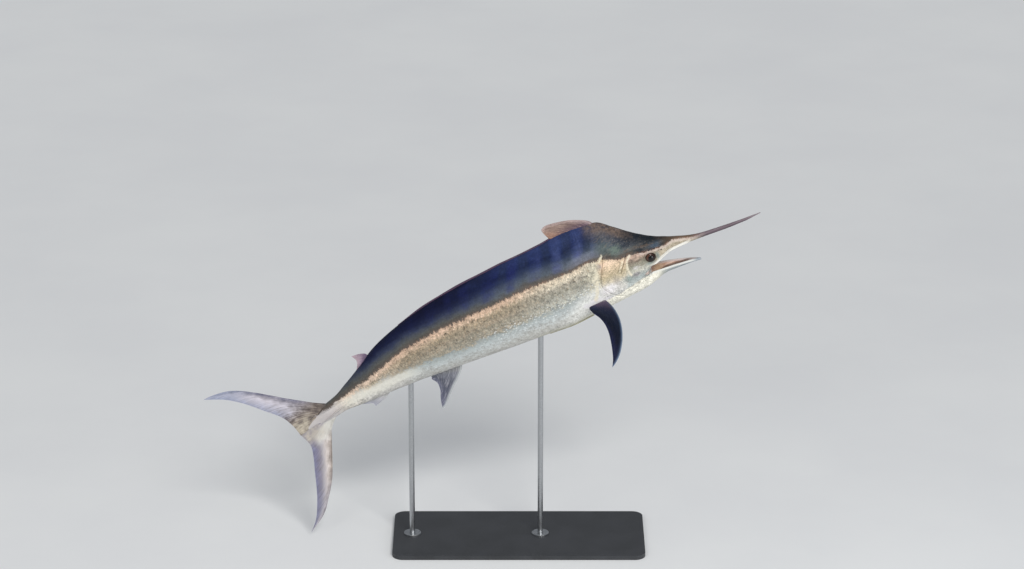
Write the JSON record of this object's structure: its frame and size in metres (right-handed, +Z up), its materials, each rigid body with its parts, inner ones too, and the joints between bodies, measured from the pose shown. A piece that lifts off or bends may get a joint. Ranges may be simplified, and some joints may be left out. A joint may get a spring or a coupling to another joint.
{
  "type": "black marlin fish model",
  "caption": "Life-size black marlin rising nose up with its mouth open, stiff pectoral fins held out, on a plain flat base with upright rods.",
  "frame": {"origin": "centre of the underside of the stand's base", "axes": "+X towards the end the fish's bill points to, +Z up, +Y to the fish's left"},
  "size_m": [3.0521, 0.9582, 1.9234],
  "materials": {
    "head_skin": "wet satin, brown-black crown over silver cheeks",
    "bill": "finely rough, mauve-brown",
    "pale_skin": "wet satin, bluish white",
    "gill_cover": "wet satin, bronze above and silver below",
    "eye": "polished",
    "back_skin": "wet satin, navy",
    "flank_skin": "wet satin, navy back, bronze stripe, silver flank",
    "dorsal_fin": "satin, pinkish brown",
    "anal_fin": "satin, grey-mauve",
    "pectoral_fin": "satin, near-black navy",
    "keel": "satin, pale blue-white",
    "tail_fin": "satin, silvery lavender",
    "stand_base": "satin charcoal",
    "stand_rod": "brushed"
  },
  "bodies": {
    "root": {"head": "head_skin", "bill": "bill", "lower_jaw": "pale_skin", "gill_cover_right": "gill_cover", "gill_cover_left": "gill_cover", "eye_right": "eye", "eye_left": "eye", "trunk_front": "back_skin", "trunk_middle": "flank_skin", "trunk_rear": "flank_skin", "peduncle": "flank_skin", "first_dorsal_lobe": "dorsal_fin", "first_dorsal_fold": "back_skin", "second_dorsal_fin": "dorsal_fin", "first_anal_fin": "anal_fin", "second_anal_fin": "pale_skin", "pectoral_fin_right": "pectoral_fin", "pectoral_fin_left": "pectoral_fin", "pelvic_fin_right": "pale_skin", "pelvic_fin_left": "pale_skin", "keel_upper_right": "keel", "keel_lower_right": "keel", "keel_upper_left": "keel", "keel_lower_left": "keel", "caudal_upper_lobe": "tail_fin", "caudal_lower_lobe": "tail_fin", "stand_base": "stand_base", "stand_rod_front": "stand_rod", "stand_rod_rear": "stand_rod"}
  },
  "joints": []
}
